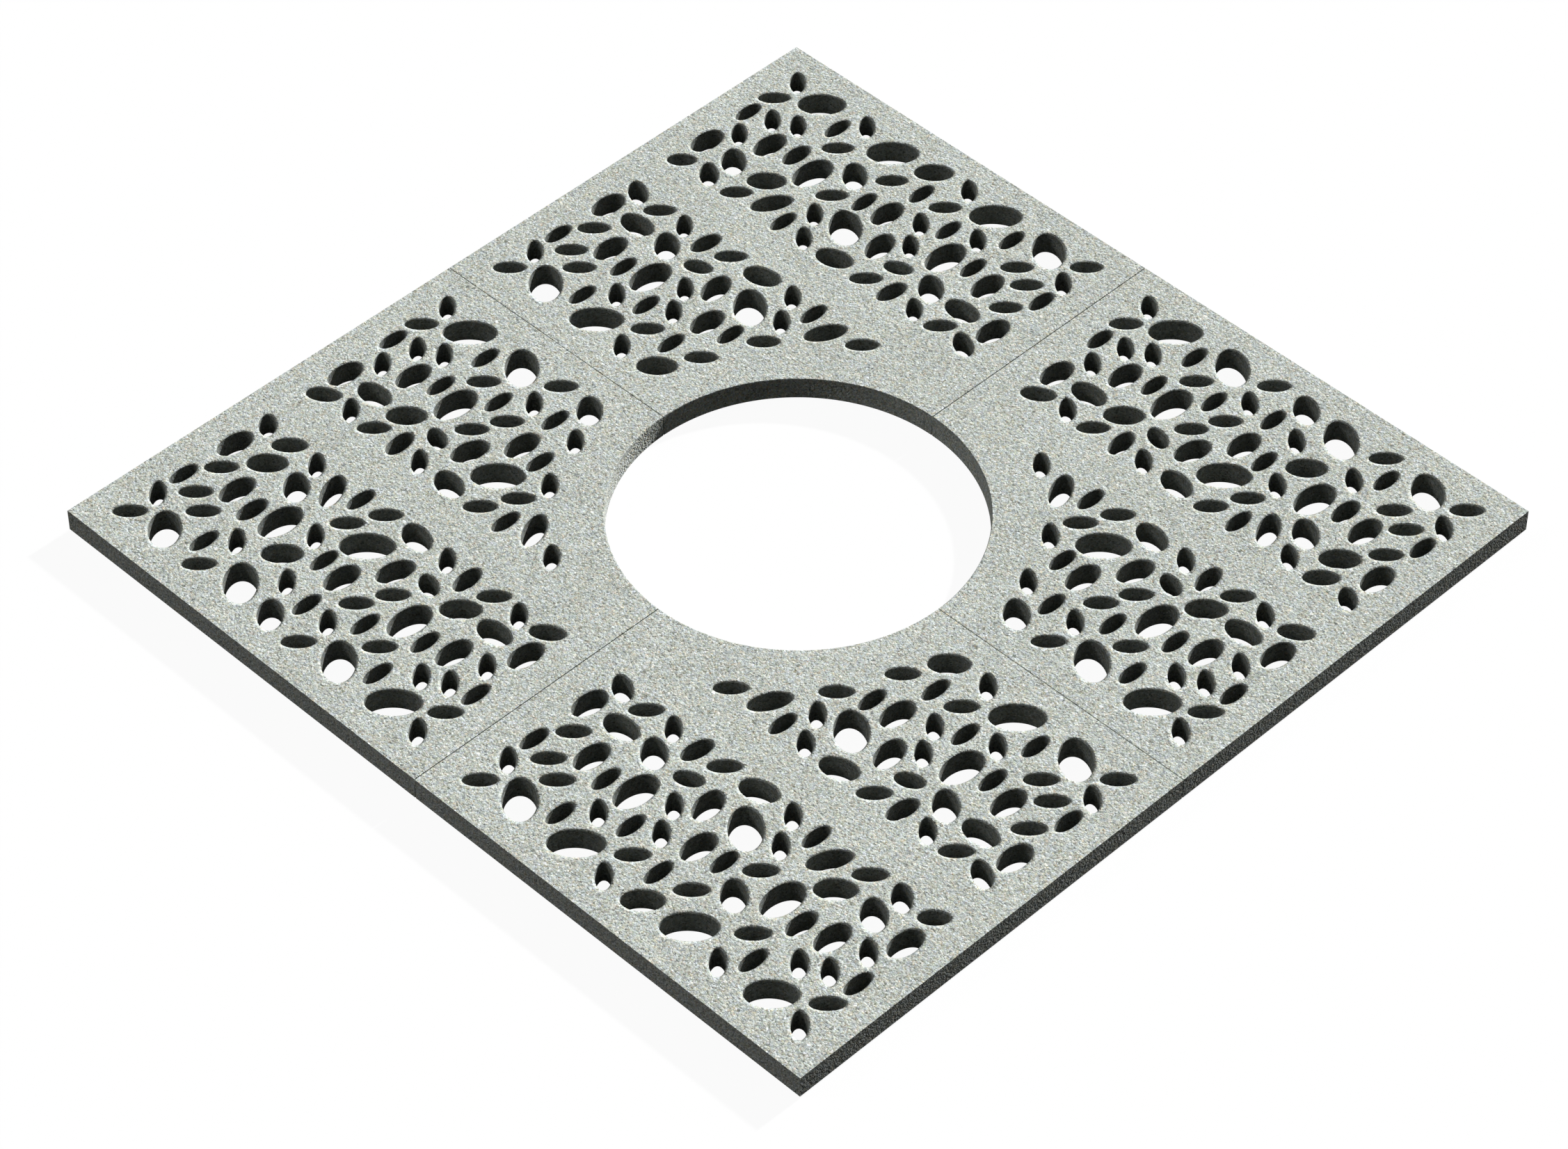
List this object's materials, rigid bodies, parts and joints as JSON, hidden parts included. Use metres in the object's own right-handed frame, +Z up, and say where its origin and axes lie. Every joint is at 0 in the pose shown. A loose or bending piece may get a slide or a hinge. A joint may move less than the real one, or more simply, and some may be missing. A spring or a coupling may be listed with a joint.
{
  "type": "tree grate",
  "caption": "Square stone tree grate in quarters around a round trunk opening, perforated with oval seed-shaped drainage holes, on rubber bearing pads.",
  "frame": {"origin": "under the centre of the trunk opening, on the plane that the bearing pads stand on", "axes": "+Z up through the trunk opening, X and Y along the grate's edges, with the bands of perforations running along X"},
  "size_m": [1.2, 1.2, 0.033],
  "materials": {
    "cast_stone": "fine speckled granite grey, lightly blasted top and sawn edges",
    "pad_rubber": "matt moulded",
    "joint_rubber": "matt cellular strip"
  },
  "bodies": {
    "front_left": {"quarter_front_left": "cast_stone", "pad_front_left_corner": "pad_rubber", "pad_front_left_edge_x_middle": "pad_rubber", "pad_front_left_edge_x_end": "pad_rubber", "pad_front_left_edge_y_middle": "pad_rubber", "pad_front_left_edge_y_end": "pad_rubber", "pad_front_left_trunk_x": "pad_rubber", "pad_front_left_trunk_y": "pad_rubber", "strip_front": "joint_rubber"},
    "front_right": {"quarter_front_right": "cast_stone", "pad_front_right_corner": "pad_rubber", "pad_front_right_edge_x_middle": "pad_rubber", "pad_front_right_edge_x_end": "pad_rubber", "pad_front_right_edge_y_middle": "pad_rubber", "pad_front_right_edge_y_end": "pad_rubber", "pad_front_right_trunk_x": "pad_rubber", "pad_front_right_trunk_y": "pad_rubber", "strip_right": "joint_rubber"},
    "back_left": {"quarter_back_left": "cast_stone", "pad_back_left_corner": "pad_rubber", "pad_back_left_edge_x_middle": "pad_rubber", "pad_back_left_edge_x_end": "pad_rubber", "pad_back_left_edge_y_middle": "pad_rubber", "pad_back_left_edge_y_end": "pad_rubber", "pad_back_left_trunk_x": "pad_rubber", "pad_back_left_trunk_y": "pad_rubber", "strip_left": "joint_rubber"},
    "back_right": {"quarter_back_right": "cast_stone", "pad_back_right_corner": "pad_rubber", "pad_back_right_edge_x_middle": "pad_rubber", "pad_back_right_edge_x_end": "pad_rubber", "pad_back_right_edge_y_middle": "pad_rubber", "pad_back_right_edge_y_end": "pad_rubber", "pad_back_right_trunk_x": "pad_rubber", "pad_back_right_trunk_y": "pad_rubber", "strip_back": "joint_rubber"}
  },
  "joints": [
    {"name": "lift_front_left", "type": "slide", "parent": "back_left", "child": "front_left", "axis": [0, 0, 1], "range_m": [0, 0.15]},
    {"name": "lift_front_right", "type": "slide", "parent": "back_left", "child": "front_right", "axis": [0, 0, 1], "range_m": [0, 0.15]},
    {"name": "lift_back_right", "type": "slide", "parent": "back_left", "child": "back_right", "axis": [0, 0, 1], "range_m": [0, 0.15]}
  ]
}
